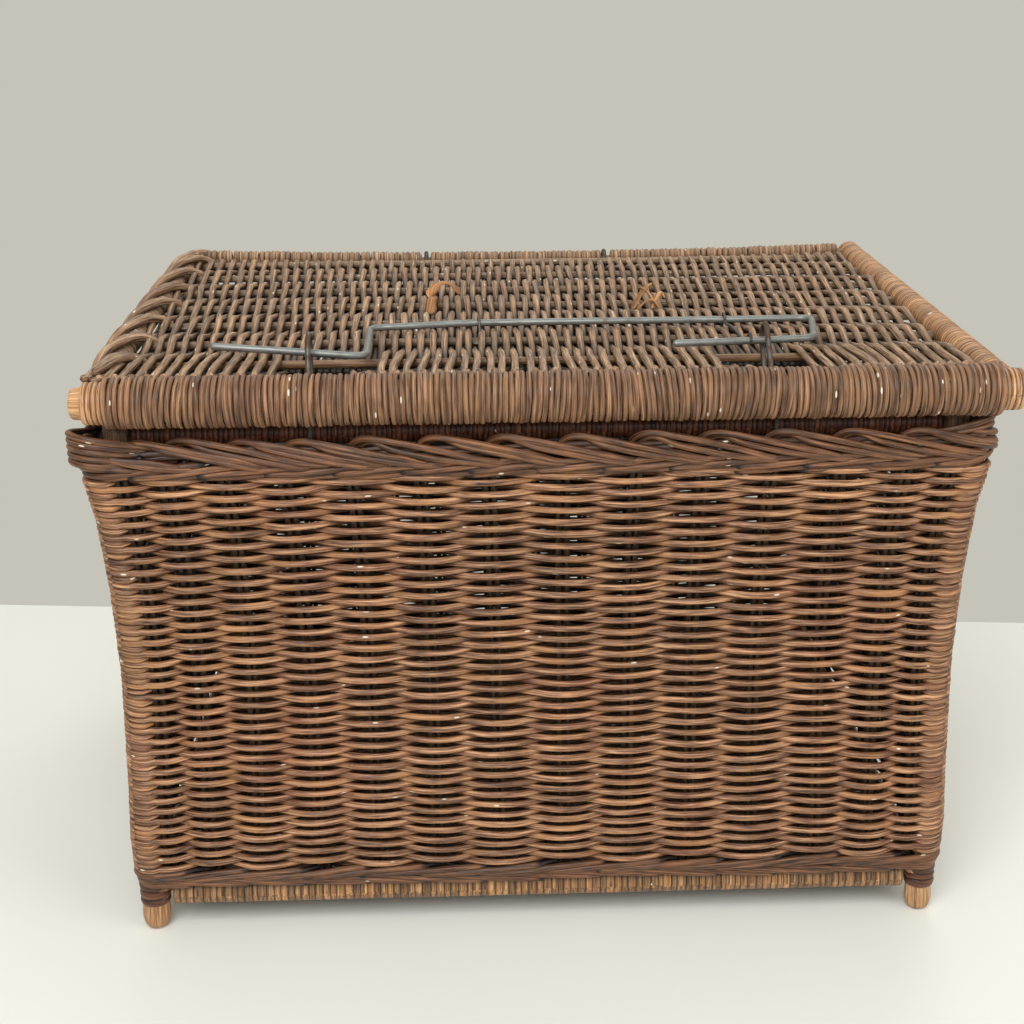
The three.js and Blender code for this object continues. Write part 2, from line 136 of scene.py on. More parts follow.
class Strands:
    """Collects strands and makes one mesh of them, with grain, tone and a painted light level (a rust amount
    on wire) for the materials.
    """

    def __init__(self):
        self.points = []
        self.grain = []
        self.tone = []
        self.wear = []
        self.loops = []
        self.starts = []
        self.vertex_count = 0
        self.loop_count = 0
        self.strand_count = 0

    def _faces(self, corners):
        rows, width = corners.shape
        self.loops.append(corners.ravel() + self.vertex_count)
        self.starts.append(self.loop_count + width * np.arange(rows))
        self.loop_count += rows * width

    def add(self, path, radius, sides=8, up=(0, 0, 1), tone=0.5, wear=0.5, outward=None, closed=False,
            start=0.0, flat=1.0, rounded=False):
        """A strand along path. flat squeezes it in the direction of up; start is where its grain begins."""
        path = np.asarray(path, float)
        radius = np.broadcast_to(radius, len(path))
        wear = np.broadcast_to(wear, len(path))
        painted_side_light = 1.0
        if outward is not None:
            outward = np.broadcast_to(outward, path.shape)
        if rounded:
            path, radius, wear = round_off(path, radius, wear)
            if outward is not None:
                outward = np.pad(outward, ((3, 3), (0, 0)), "edge")
        padded = np.pad(path, ((1, 1), (0, 0)), "wrap" if closed else "edge")
        tangent = unit(padded[2:] - padded[:-2])
        side = unit(np.cross(up, tangent))
        top = np.cross(tangent, side)
        angle = 2 * np.pi * np.arange(sides) / sides
        cosine, sine = np.cos(angle), np.sin(angle)
        around = side[:, None] * cosine[:, None] + top[:, None] * sine[:, None] * flat
        rings = path[:, None] + around * radius[:, None, None]
        step = np.linalg.norm(np.diff(path, axis=0), axis=1)
        along = start + np.concatenate([[0], np.cumsum(step)]) + 137.0 * tone
        across = cosine * radius.mean() + 11.0 * self.strand_count
        grain = line(along[:, None], across, sine * radius.mean())
        # painted light: the side of a strand that faces outward is painted lighter, the other side darker
        if outward is not None:
            painted_side_light = 0.75 + 0.25 * (around * outward[:, None]).sum(-1)
        self.tube(rings, grain, tone, wear[:, None] * painted_side_light, closed)

    def tube(self, rings, grain, tone, wear, closed=False):
        """Joins rings of points into a tube with two ends or, if closed, with none."""
        count, sides = rings.shape[:2]
        self.points.append(rings.reshape(-1, 3))
        self.grain.append(grain.reshape(-1, 3))
        self.tone.append(np.broadcast_to(tone, (count, sides)).ravel())
        self.wear.append(np.broadcast_to(wear, (count, sides)).ravel())
        ring = np.arange(count if closed else count - 1)[:, None] * sides
        following = (ring + sides) % (count * sides)
        j = np.arange(sides)[None, :]
        k = (j + 1) % sides
        self._faces(np.stack([ring + j, ring + k, following + k, following + j], -1).reshape(-1, 4))
        if not closed:
            self._faces(np.arange(sides)[::-1][None, :])
            self._faces(((count - 1) * sides + np.arange(sides))[None, :])
        self.vertex_count += count * sides
        self.strand_count += 1


def round_off(path, radius, wear):
    """Rounds both ends of a strand by three short, narrowing steps."""
    reach = np.array([0.95, 0.75, 0.35])
    narrow = np.sqrt(1 - reach**2)
    first = unit(path[0] - path[1]) * radius[0]
    last = unit(path[-1] - path[-2]) * radius[-1]
    path = np.vstack([path[0] + reach[:, None] * first, path, path[-1] + reach[::-1, None] * last])
    radius = np.concatenate([radius[0] * narrow, radius, radius[-1] * narrow[::-1]])
    return path, radius, np.pad(wear, 3, "edge")


def make_piece(strands, name, material, body, slot, *nodes):
    """Turns collected strands into an object that rides on a body and stands for some CAD nodes."""
    mesh = bpy.data.meshes.new(name)
    points = np.concatenate(strands.points) * 0.001 + ORIGIN
    loops = np.concatenate(strands.loops)
    starts = np.concatenate(strands.starts)
    mesh.vertices.add(len(points))
    mesh.vertices.foreach_set("co", points.astype(np.float32).ravel())
    mesh.loops.add(len(loops))
    mesh.loops.foreach_set("vertex_index", loops.astype(np.int32))
    mesh.polygons.add(len(starts))
    mesh.polygons.foreach_set("loop_start", starts.astype(np.int32))
    mesh.update(calc_edges=True)
    mesh.shade_smooth()
    grain = mesh.attributes.new("grain", "FLOAT_VECTOR", "POINT")
    grain.data.foreach_set("vector", np.concatenate(strands.grain).astype(np.float32).ravel())
    for key in ("tone", "wear"):
        attribute = mesh.attributes.new(key, "FLOAT", "POINT")
        attribute.data.foreach_set("value", np.concatenate(getattr(strands, key)).astype(np.float32))
    mesh.materials.append(material)
    piece = bpy.data.objects.new(name, mesh)
    bpy.context.scene.collection.objects.link(piece)
    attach(piece, body)
    if nodes:
        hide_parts(*nodes)


def one_strand(name, material, body, slot, nodes, path, radius, **options):
    """A piece that is a single strand."""
    strands = Strands()
    strands.add(path, radius, **options)
    make_piece(strands, name, material, body, slot, *nodes)


# ---------- the basket's outline ----------


class Ring:
    """The way round the basket, as a length s from the middle of the front, anticlockwise from above."""

    def __init__(self, half_x, half_y, radius):
        self.half_x = half_x
        self.half_y = half_y
        self.radius = radius
        self.long = 2 * (half_x - radius)
        self.short = 2 * (half_y - radius)
        self.arc = math.pi * radius / 2
        self.length = 2 * (self.long + self.short) + 4 * self.arc

    def side_length(self, side):
        return self.long if side in ("front", "back") else self.short

    def offset(self, s, middle):
        """The length from middle to s, the short way round."""
        return np.mod(s - middle + self.length / 2, self.length) - self.length / 2

    def middle(self, side):
        """Where the middle of a side lies along the ring."""
        half = (self.long + self.short) / 2 + self.arc
        return {"front": 0, "right": half, "back": self.length / 2, "left": self.length / 2 + half}[side]

    def place(self, s, inset, z, grow):
        """Points at lengths s, set in from the outside by inset, at heights z, on a ring grown by grow."""
        s = np.asarray(s, float)
        inset, z, grow = (np.broadcast_to(np.asarray(v, float), s.shape) for v in (inset, z, grow))
        t = np.mod(s + self.long / 2, self.length)
        place = np.zeros(s.shape, complex)  # x and y as one complex number
        begin = 0.0
        for turn in range(4):
            along = 1j**turn
            out = along / 1j
            half_along, half_out = (self.half_y, self.half_x) if turn % 2 else (self.half_x, self.half_y)
            length = 2 * (half_along - self.radius)
            on = (t >= begin) & (t < begin + length)
            stretch = 1 + grow[on] / (half_along - self.radius)
            reach = half_out + grow[on] - inset[on]
            place[on] = along * (t[on] - begin - length / 2) * stretch + out * reach
            begin += length
            on = (t >= begin) & (t < begin + self.arc)
            angle = (t[on] - begin) / self.radius
            middle = along * half_along + out * half_out + (along + out) * (grow[on] - self.radius)
            direction = along * np.sin(angle) + out * np.cos(angle)
            place[on] = middle + direction * (self.radius - inset[on])
            begin += self.arc
        return line(place.real, place.imag, z)

    def outward(self, s, grow=0.0):
        """The outward direction at lengths s."""
        near = self.place(s, 0.0, 0.0, grow)
        deep = self.place(s, 1.0, 0.0, grow)
        return near - deep

    def span(self, side, step):
        """Lengths from the middle of one corner to the middle of the next, along a side."""
        half = (self.side_length(side) + self.arc) / 2
        count = int(round(2 * half / step))
        return self.middle(side) + np.linspace(-half, half, count + 1)


BASE_HALF = 280.0
WIDTH_LESS_DEPTH = POST.middle[0] - POST.middle[1]
WALL = Ring(BASE_HALF, BASE_HALF - WIDTH_LESS_DEPTH, CORNER)
SIDES = ("front", "right", "back", "left")


def wall_grow(z):
    return np.interp(z, PROFILE_Z, PROFILE_HALF) - BASE_HALF


def stakes_at(z):
    """Every stake's length along the wall at height z, in order from the front left corner."""
    share = (z - LOW_Z) / (HIGH_Z - LOW_Z)
    wide = np.array(LOW_STAKES) + (np.array(HIGH_STAKES) - np.array(LOW_STAKES)) * share
    places = []
    for side in SIDES:
        offsets = wide if side == "front" else -wide[::-1] if side == "back" else SIDE_STAKES
        places += [WALL.middle(side) + offset for offset in offsets]
    return np.array(places)


STAKES = stakes_at(BORDER_BOX.low[2])


def wobble(seed, scale, terms=6):
    """A smooth random function of two lengths, about -1 to 1, with features about scale across."""
    rng = np.random.default_rng(seed)
    waves = rng.normal(0, 1 / scale, (terms, 2))
    phases = rng.uniform(0, 2 * np.pi, terms)

    def value(a, b):
        total = 0
        for (ka, kb), phase in zip(waves, phases):
            total = total + np.sin(2 * np.pi * (ka * a + kb * b) + phase)
        return total / math.sqrt(terms)

    return value


def ease(t):
    return (1 - np.cos(np.pi * np.clip(t, 0, 1))) / 2


def weave_side(s, row, z):
    """How far out a weaver is at lengths s: 1 in front of a stake, -1 behind it, 0 at a corner."""
    tangent = CORNER * 0.1
    knots = []
    for number, place in enumerate(stakes_at(z)):
        knots.append((place, 1.0 if (number + row) % 2 == 0 else -1.0))
    for side in SIDES:
        half = WALL.side_length(side) / 2
        for end in (-half - tangent, half + tangent):
            knots.append((WALL.middle(side) + end, 0.0))
    knots.sort()
    places = np.array([k[0] for k in knots])
    values = np.array([k[1] for k in knots])
    places = np.concatenate([places[-2:] - WALL.length, places, places[:2] + WALL.length])
    values = np.concatenate([values[-2:], values, values[:2]])
    t = np.mod(s - places[2], WALL.length) + places[2]
    index = np.clip(np.searchsorted(places, t) - 1, 0, len(places) - 2)
    share = (t - places[index]) / (places[index + 1] - places[index])
    return values[index] + (values[index + 1] - values[index]) * ease((share - 0.06) / 0.88)


def corner_share(s):
    """1 on the straight sides, falling to 0 round each corner post."""
    share = np.ones_like(s)
    for side in SIDES:
        half = WALL.side_length(side) / 2
        for sign in (-1, 1):
            middle = WALL.middle(side) + sign * (half + WALL.arc / 2)
            distance = np.abs(WALL.offset(s, middle))
            share = np.minimum(share, ease((distance - WALL.arc / 2) / 8.0))
    return share


# ---------- basket pieces ----------


def woven_wall(side, material):
    """The weavers of one side, each over and under the stakes, wrapped half way round both corner posts."""
    strands = Strands()
    s = WALL.span(side, 4.2)
    out = WALL.outward(s)
    straight = corner_share(s)
    rise = wobble(11, 160.0)
    bulge = wobble(12, 90.0)
    for row in range(ROWS):
        rng = np.random.default_rng(1000 + row)
        share = (row + 0.5) / ROWS
        z0 = WALL_LOW + (WALL_HIGH - WALL_LOW) * (share + ROW_CREEP * (share**2 - share))
        face = weave_side(s, row, z0)
        amplitude = (DEPTH_UNDER - DEPTH_OVER) / 2
        depth = DEPTH_OVER + amplitude * straight * (1 - face)
        depth += 0.35 * bulge(s, z0 + 40 * row) * straight
        z = z0 - SAG[side] * face * straight + 0.9 * rise(s, z0) + 0.2 * rise(3 * s, 55.0 * row)
        thickness = (REED + 0.28 * (side == "back")) * (1 + rng.normal(0, 0.045))
        thickness = thickness * (1 + 0.03 * bulge(2 * s, 31.0 * row))
        path = WALL.place(s, depth, z, wall_grow(z))
        # painted shade: a weaver is painted darker where it passes behind a stake and lighter where it
        # crosses in front
        painted_light = np.clip(0.8 + 0.45 * face, 0, 1) * straight + 0.85 * (1 - straight)
        strands.add(path, thickness, sides=7, tone=rng.uniform(), wear=painted_light, outward=out, start=s[0] + 2000)
    make_piece(strands, f"weave_{side}", material, "basket", "body_reed", f"woven_wall_{side}")


def stakes(material):
    """Pairs of upright rods inside the weave."""
    strands = Strands()
    z = np.linspace(42.0, BORDER_BOX.low[2] + 12, 14)
    depth = (DEPTH_OVER + DEPTH_UNDER) / 2
    rng = np.random.default_rng(5)
    places = np.array([stakes_at(height) for height in z])
    for number in range(places.shape[1]):
        for half in (-STAKE_GAP / 2, STAKE_GAP / 2):
            s = places[:, number] + half + rng.normal(0, 0.3)
            path = WALL.place(s, depth, z, wall_grow(z))
            radius = STAKE * rng.uniform(0.94, 1.05)
            strands.add(path, radius, up=WALL.outward(s), tone=rng.uniform())
    make_piece(strands, "stakes", material, "basket", "body_reed")


def twined_row(strands, ring, z0, grow, radius, rise, hand, seed, out_depth, in_depth, painted_crown_light=0.9):
    """A wale: strands that twist round the stakes, long and rising outside, short and falling inside."""
    rng = np.random.default_rng(seed)
    count = 3
    outside = 0.66
    turns = int(round(ring.length / WALE_PERIOD))
    period = ring.length / turns
    s = np.linspace(0, ring.length, int(ring.length / 3.6), endpoint=False)
    out = ring.outward(s)
    wave = wobble(seed + 50, 120.0)
    for number in range(count):
        phase = np.mod(s / period + number / count, 1.0)
        inside = phase > outside
        share = np.where(inside, (phase - outside) / (1 - outside), phase / outside)
        depth = np.where(
            inside,
            out_depth + (in_depth - out_depth) * np.sin(np.pi * share) ** 0.8,
            out_depth + 1.6 * np.abs(2 * share - 1) ** 3,
        )
        height = np.where(inside, 0.5 - ease(share), ease(0.1 + 0.8 * share) - 0.5)
        z = z0 + hand * rise * height + 0.8 * wave(s, 9.0)
        path = ring.place(s, depth, z, grow)
        # painted shade: the short runs inside the stakes are painted dark, the long outside runs take the
        # given light level
        painted_light = np.where(inside, 0.1, painted_crown_light)
        tone = rng.uniform()
        thick = radius * rng.uniform(0.95, 1.06)
        strands.add(path, thick, tone=tone, wear=painted_light, outward=out, closed=True)


def bottom_wale(material):
    """Two twined rows of opposite hand that close the weave at the foot."""
    strands = Strands()
    for z0, hand, seed in ((41.8, -1, 21), (47.6, 1, 22)):
        twined_row(strands, WALL, z0, wall_grow(z0 + 3), 2.35, 6.0, hand, seed, 2.2, 10.8)
    nodes = [f"bottom_wale_{side}" for side in SIDES]
    make_piece(strands, "bottom_wale", material, "basket", "body_reed", *nodes)


BORDER_HALF = BORDER_BOX.high[0]
BORDER = Ring(BORDER_HALF, BORDER_HALF - WIDTH_LESS_DEPTH, 26.0)


def border_length(place):
    """A stake's length along the border's ring: the same share of its side as on the wall's ring."""
    for side in SIDES:
        length = WALL.side_length(side)
        offset = WALL.offset(place, WALL.middle(side))
        if abs(offset) <= length / 2 + WALL.arc:
            return BORDER.middle(side) + offset * BORDER.side_length(side) / length
    return place


def smooth_path(points, samples):
    """A Catmull-Rom curve through some rows of values, as samples rows."""
    points = np.asarray(points, float)
    padded = np.vstack([2 * points[0] - points[1], points, 2 * points[-1] - points[-2]])
    t = np.linspace(0, len(points) - 1 - 1e-6, samples)
    k = t.astype(int)
    f = (t - k)[:, None]
    a, b, c, d = (padded[k + shift] for shift in range(4))
    return 0.5 * (2 * b + (c - a) * f + (2 * a - 5 * b + 4 * c - d) * f**2 + (3 * b - a - 3 * c + d) * f**3)


def top_border(material, end_material):
    """Each stake bends over to the right and sweeps along the outside, with wales between and below."""
    strands = Strands()
    ends = Strands()
    top = BORDER_BOX.high[2] - 5.5
    rng = np.random.default_rng(31)
    for number, place in enumerate(STAKES):
        s0 = border_length(place)
        for twin in (0, 1):
            shift = 4.6 * twin
            lift = rng.normal(0, 0.7)
            reach = rng.uniform(92, 104)
            # rows of (along, depth, height)
            route = [
                (s0 - 6 + shift, 14.0, top - 26),
                (s0 - 4 + shift, 13.5, top - 12 + lift),
                (s0 + 6 + shift, 9.0, top - 3.2 + lift),
                (s0 + 26, 4.6, top - 4.4 - 3.4 * twin + lift),
                (s0 + 52, 2.6, top - 9.5 - 3.6 * twin + lift),
                (s0 + 74, 2.4, top - 14.2 - 3.2 * twin),
                (s0 + reach - 8, 4.4, top - 18.0 - 1.8 * twin),
                (s0 + reach + 6, 9.5, top - 19.5),
            ]
            along, depth, height = smooth_path(route, 34).T
            path = BORDER.place(along, depth, height, -1.0)
            out = BORDER.outward(along)
            radius = BORDER_REED_RADIUS * rng.uniform(0.93, 1.05)
            strands.add(path, radius, tone=rng.uniform(), wear=0.8, outward=out)
        if number % 3 == 0:
            s1 = s0 + 8 + rng.normal(0, 3)
            direction = BORDER.outward([s1])[0] + (0.0, 0.0, 0.25)
            root = BORDER.place([s1], 9.0, top - 12.5, 0.0)[0]
            stub = [root, root + direction * 4.8]
            ends.add(stub, 2.3, sides=10, tone=rng.uniform(), wear=0.1, rounded=True)
    wale = Ring(BORDER_HALF - 3.5, BORDER_HALF - 3.5 - WIDTH_LESS_DEPTH, 24.0)
    twined_row(strands, wale, top - 20.5, 0.0, 2.3, 7.4, 1, 41, 2.2, 11.0)
    twined_row(strands, wale, top - 25.0, -2.2, 2.0, 4.6, 1, 42, 2.6, 11.0)
    # painted shade: this row's outside runs, under the bent stakes, are painted darker than the rows below
    twined_row(strands, wale, top - 10.5, 0.0, 2.3, 5.0, 1, 43, 4.2, 11.5, painted_crown_light=0.42)
    for side in SIDES:
        for k in range(5):
            away = np.linspace(-62, 62, 30)
            bump = np.exp(-((away / 34.0) ** 2))
            along = BORDER.span(side, 5.0)[-1] + away
            flare = 12.0 if side in ("left", "back") else 4.0
            depth = 9.0 - flare * bump + (2.0 + 0.5 * k) * (1 - bump)
            height = top + 3.6 - 4.6 * k - (11.0 - 1.5 * k) * (1 - bump) + rng.normal(0, 0.3)
            path = BORDER.place(along, depth, height, -1.0)
            out = BORDER.outward(along)
            strands.add(path, BORDER_REED_RADIUS, tone=rng.uniform(), wear=0.8, outward=out)
    nodes = [f"top_border_{side}" for side in SIDES]
    make_piece(strands, "plaited_border", material, "basket", "border_reed", *nodes)
    make_piece(ends, "border_stake_ends", end_material, "basket", "border_reed")


def wrapped_bar(strands, start, end, radius, pitch, ridge, seed, sides=20):
    """A rod wound with flat cane: a tube whose outline dips in a thin groove between turns."""
    rng = np.random.default_rng(seed)
    start = np.asarray(start, float)
    length = np.linalg.norm(end - start)
    turns = int(length / pitch)
    axis = (end - start) / length
    side = unit(np.cross(axis, (0.0, -1.0, 0.0) if abs(axis[2]) > 0.9 else (0.0, 0.0, 1.0)))
    top = np.cross(side, axis)
    shares = np.array([0.0, 0.08, 0.35, 0.65, 0.92])
    t = np.append((np.arange(turns)[:, None] + shares).ravel(), turns - 0.001)
    angle = 2 * np.pi * np.arange(sides)[::-1] / sides  # backwards, so that the faces look outward
    joints = np.arange(1, turns) + rng.uniform(-0.22, 0.22, turns - 1)
    edges = np.concatenate([[0.0], joints, [turns]])
    high = rng.uniform(0.75, 1.15, turns + 3)
    cell = t.astype(int)
    share = np.mod(t, 1.0)
    bump = np.clip(np.sin(np.pi * share), 0, 1) ** 0.45
    reach = radius - ridge + ridge * bump * high[cell]
    move = np.interp(t, np.arange(turns + 1), edges) / turns * length
    normal = side * np.cos(angle)[:, None] + top * np.sin(angle)[:, None]
    rings = start + axis * move[:, None, None] + normal * reach[:, None, None]
    grain = line(angle * radius + 60.0 * cell[:, None], (share * pitch)[:, None], 17.0 * cell[:, None])
    # painted shade in the groove between turns and painted highlight on each turn's crown; the two end rings
    # are painted lit
    painted_light = 0.1 + 0.8 * bump
    painted_light[[0, -1]] = 0.85
    strands.tube(rings, grain, rng.uniform(0, 1, turns + 3)[cell][:, None], painted_light[:, None])


def rails(prefix, material, slot, pitch, ridge):
    """The four top or bottom rails between the posts, wound with cane."""
    for seed, side in enumerate(SIDES):
        name = f"{prefix}_rail_{side}"
        box = Box(name)
        reach = box.half * ((1, 0, 0) if side in ("front", "back") else (0, 1, 0))
        strands = Strands()
        wrapped_bar(strands, box.middle - reach, box.middle + reach, box.half[2], pitch, ridge, 60 + seed)
        make_piece(strands, f"wound_{name}", material, "basket", slot, name)


def corner_posts(material, wrap_material):
    """Posts with worn round ends that lean out at the foot, each with turns of cane above the foot."""
    collar = Strands()
    # how far each ring of the rounded end is above the ground and outside the post's radius
    foot_rise = np.array([0, 0.6, 1.7, 3.4, 6.0, 9.5, 13.5])
    foot_out = np.array([-5.0, -3.3, -1.8, -0.7, 0.1, 0.5, 0.4])
    for seed, name in enumerate(POSTS):
        box = Box(name)
        outside = np.sign(box.middle[0])
        z = np.concatenate([box.low[2] + foot_rise, np.linspace(18, box.high[2], 32)])
        lumps = wobble(80 + seed, 40.0)
        radius = POST.half[0] + np.pad(foot_out, (0, 32)) + 0.3 * lumps(z, 0.0) - 0.3
        lean = 4.5 * ease((58 - z) / 50.0) * outside
        # painted shade: each post is painted darker above the foot, where the weave hides it, and lit on the
        # bare foot
        painted_light = np.where(z < 45, 0.8, 0.36)
        path = line(box.middle[0] + lean, box.middle[1], z)
        one_strand(f"rattan_{name}", material, "basket", "pole_cane", [name], path, radius,
                   sides=28, up=(0, 1, 0), tone=0.2 + 0.2 * seed, wear=painted_light)
        foot = box.middle * (1, 1, 0) + (4.2 * outside, 0, 0)
        wrapped_bar(collar, foot + (0, 0, 20.5), foot + (0, 0, 38.5), POST.half[0] + 1.3, 4.6, 1.0, 85 + seed)
    make_piece(collar, "foot_collars", wrap_material, "basket", "wrap_cane")


def floor(material):
    """A plain woven floor over thin sticks."""
    strands = Strands()
    box = Box("woven_floor")
    z0 = box.middle[2] + 1.0
    radius = 1.6
    spacing = 42
    rng = np.random.default_rng(90)
    sticks = np.arange(-252, 253, spacing)
    for x in sticks:
        y = np.linspace(box.low[1] + 3, box.high[1] - 3, 12)
        strands.add(line(x, y, z0), radius, sides=6, tone=rng.uniform())
    x = np.linspace(-265, 265, 128)
    for number, y in enumerate(np.arange(box.low[1] + 0.5, box.high[1] + 2, 3.4)):
        beside_posts = abs(y) > POST.middle[1] - POST.half[0] - 3
        wave = np.cos(np.pi * ((x - sticks[0]) / spacing + number % 2))
        span = np.abs(x) <= (253.0 if beside_posts else 265.0)
        strands.add(line(x, y, z0 + 2 * radius * wave)[span], radius, sides=6, tone=rng.uniform())
    make_piece(strands, "woven_base", material, "basket", "body_reed", "woven_floor")


# ---------- lid pieces ----------


def back_sag(x):
    """How far the back edge of the lid hangs below its straight line."""
    return np.interp(x, (-300, -250, -150, -40, 70, 125, 200, 300), (0.5, 2.0, 4.6, 5.8, 6.0, 5.4, 4.6, 2.0))


def lid_strands(material):
    """Strands from the roll to the back rail, over and under the cross rods, in two pieces."""
    high = Box(RODS[0]).half[2] + STRAND
    left = PANEL.low[0] - 9.0
    right = PANEL.high[0] - 2.0
    count = int((right - left) / STRAND_PITCH)
    rail_y = BACK_RAIL.middle[1]
    turn = BACK_RAIL.half[2] + STRAND * 0.8
    roll_y = ROLL.middle[1]
    gap = ROD_Y[0] - roll_y
    rings = [Box(f"hinge_ring_{side}").middle[0] for side in ("left", "right")]
    # middle and half width of each slot
    slots = ((Box("hasp_eye_left").middle[0] + 9.5, 28.5), (Box("hasp_eye_right").middle[0] - 1.0, 26.0))
    halves = {"left": Strands(), "right": Strands()}
    sway = wobble(101, 130.0)
    lift = wobble(102, 90.0)
    for number in range(count):
        rng = np.random.default_rng(3000 + number)
        share = (number + 0.5) / count
        crowd = PITCH_SPREAD * count * math.sin(2 * math.pi * share) / (2 * math.pi)
        x0 = left + share * (right - left) + crowd + rng.normal(0, 0.25)
        over = 1 if number % 2 == 0 else -1
        in_slot = any(abs(x0 - middle) < half_width for middle, half_width in slots)
        # rows of (y, height above the rods)
        if in_slot:
            route = [(ROD_Y[0] - 2.0, -(high + 0.2))]
        elif over > 0:
            route = [(roll_y + 11.0, 4.0), (roll_y + 18.0, 4.5), (roll_y + 0.6 * gap, 5.0)]
        else:
            route = [(roll_y + 7.0, 14.2), (roll_y + 13.0, 12.0), (roll_y + 24.0, 5.5)]
            route.append((roll_y + 0.65 * gap, 0.0))
        for k, y in enumerate(ROD_Y):
            side = over if k % 2 == 0 else -over
            if in_slot and k == 0:
                side = -1
            if k > 0:
                route.append((y - 13.0, 0.56 * side * high))
            route.append((y, side * high))
            route.append((y + 13.0, 0.56 * side * high))
        if min(abs(x0 - ring) for ring in rings) < 4.5:
            route += [(rail_y - 16.0, 2.0), (rail_y - 13.0, -3.0)]
        else:
            for degrees in (120, 85, 50, 15, -20, -60):
                angle = math.radians(degrees)
                route.append((rail_y + turn * math.cos(angle), turn * math.sin(angle)))
            route.append((rail_y - 6.0, -turn))
        y, height = smooth_path(route, 6 * len(route)).T
        drift = np.interp(y, [ROD_Y[0] - 40] + ROD_Y + [rail_y + 9], rng.normal(0, 0.42, len(ROD_Y) + 2))
        x = x0 + 0.9 * sway(y, x0) + drift
        slant = ease((ROD_Y[0] - 4.0 - y) / 36.0) * np.clip((x0 - (left + right) / 2) / 25.0, -1, 1)
        x = x + slant * (12.0 if over < 0 else 2.0)
        z = LID_Z + height + 0.35 * lift(y, x0) * (np.abs(height) < 9)
        z = z - back_sag(x) * ease((y - rail_y + 60.0) / 60.0)
        # painted light: strands are painted lighter where they arch over a rod and darker where they dip
        # under one; the outward direction straight up below paints their upper side lighter
        painted_light = np.clip(0.5 + 0.5 * height / high, 0, 1)
        half = halves["left" if x0 < (left + right) / 2 else "right"]
        radius = STRAND * (1 + rng.normal(0, 0.06)) * (1 + SWELL * np.clip(height / high, 0, 1))
        half.add(line(x, y, z), radius, sides=7, up=(1, 0, 0), tone=rng.uniform(), wear=painted_light,
                 outward=(0, 0, 1), start=rng.uniform(0, 300))
    make_piece(halves["left"], "lid_strands_left", material, "lid", "lid_reed",
               "lid_woven_panel", "lid_back_wrap_left", "lid_back_wrap_middle")
    make_piece(halves["right"], "lid_strands_right", material, "lid", "lid_reed", "lid_back_wrap_right")


def cross_rods(material, front_material):
    """The rods under the lid's strands; the first one shows in the slots and has a colour of its own."""
    strands = Strands()
    front = Strands()
    for seed, name in enumerate(RODS):
        box = Box(name)
        x = np.linspace(box.low[0] - 4, box.high[0] + 4, 60)
        bend = wobble(120 + seed, 200.0)
        path = line(x, box.middle[1] + 0.6 * bend(x, 0), box.middle[2])
        row = strands if seed else front
        row.add(path, box.half[2], sides=10, tone=0.1 * seed + 0.1)
    make_piece(strands, "lid_rods", material, "lid", "lid_reed", *RODS[1:])
    make_piece(front, "lid_front_rod", front_material, "lid", "lid_reed", RODS[0])


def back_rail(material):
    """The hidden rail at the back edge, which hangs a little in the middle."""
    x = np.linspace(BACK_RAIL.low[0], BACK_RAIL.high[0], 60)
    path = line(x, BACK_RAIL.middle[1], BACK_RAIL.middle[2] - back_sag(x))
    one_strand("lid_back_pole", material, "lid", "pole_cane", ["lid_back_rail"],
               path, BACK_RAIL.half[2] - 0.3, sides=20, tone=0.4, wear=0.4)


def front_roll(material):
    """Close turns of reed round the front pole, each a little different."""
    strands = Strands()
    reed_radius = 1.85
    turn_radius = ROLL.half[2] - reed_radius
    count = int(2 * ROLL.half[0] / 3.5)
    pitch = 2 * ROLL.half[0] / count
    angle = np.linspace(-np.pi * 1.2, np.pi * 0.8, 32, endpoint=False)
    lean = wobble(140, 150.0)
    for number in range(count):
        rng = np.random.default_rng(4000 + number)
        x0 = ROLL.low[0] + (number + 0.5) * pitch
        tilt = 0.9 * lean(x0, 0.0) + rng.normal(0, 0.35)
        radius = turn_radius + rng.normal(0, 0.3)
        squash = 1 + rng.normal(0, 0.006)
        x = x0 + rng.normal(0, 0.15) + tilt * np.sin(angle) + 0.2 * np.sin(2 * angle + rng.uniform(0, 6))
        out = line(0.0, -np.cos(angle) * squash, np.sin(angle))
        path = ROLL.middle * (0, 1, 1) + line(x, 0.0, 0.0) + out * radius
        strands.add(path, reed_radius * (1 + rng.normal(0, 0.04)), up=(1, 0, 0), tone=rng.uniform(),
                    wear=0.9, outward=out, closed=True)
    make_piece(strands, "roll_turns", material, "lid", "roll_reed", "lid_front_roll")


def front_pole(material, binding_material):
    """The pole's bare ends have worn edges; a short binding stands beside each end of the roll."""
    radius = POLE.half[2]
    # how far each ring of a worn end is from the end and inside the pole's radius
    steps = np.array([0.0, 0.5, 1.6, 3.4, 6.0, 10.0, 20.0]) - POLE.half[0]
    ends = radius - np.array([4.6, 3.1, 2.2, 1.9, 1.8, 1.2, 0])
    x = np.concatenate([steps, np.linspace(40 - POLE.half[0], POLE.half[0] - 40, 12), -steps[::-1]])
    radii = np.concatenate([ends, np.full(12, radius), ends[::-1]])
    path = POLE.middle + line(x, 0.0, 0.0)
    one_strand("rattan_front_pole", material, "lid", "pole_cane", ["lid_front_pole"],
               path, radii, sides=32, tone=0.6, wear=0.7)

    binding = Strands()
    for sign in (-1, 1):
        start, end = (POLE.middle + (sign * (ROLL.half[0] + away), 0, 0) for away in (0.5, 13.5))
        wrapped_bar(binding, start, end, radius + 1.6, 3.1, 1.1, 150 + sign, sides=26)
    make_piece(binding, "pole_end_bindings", binding_material, "lid", "wrap_cane")


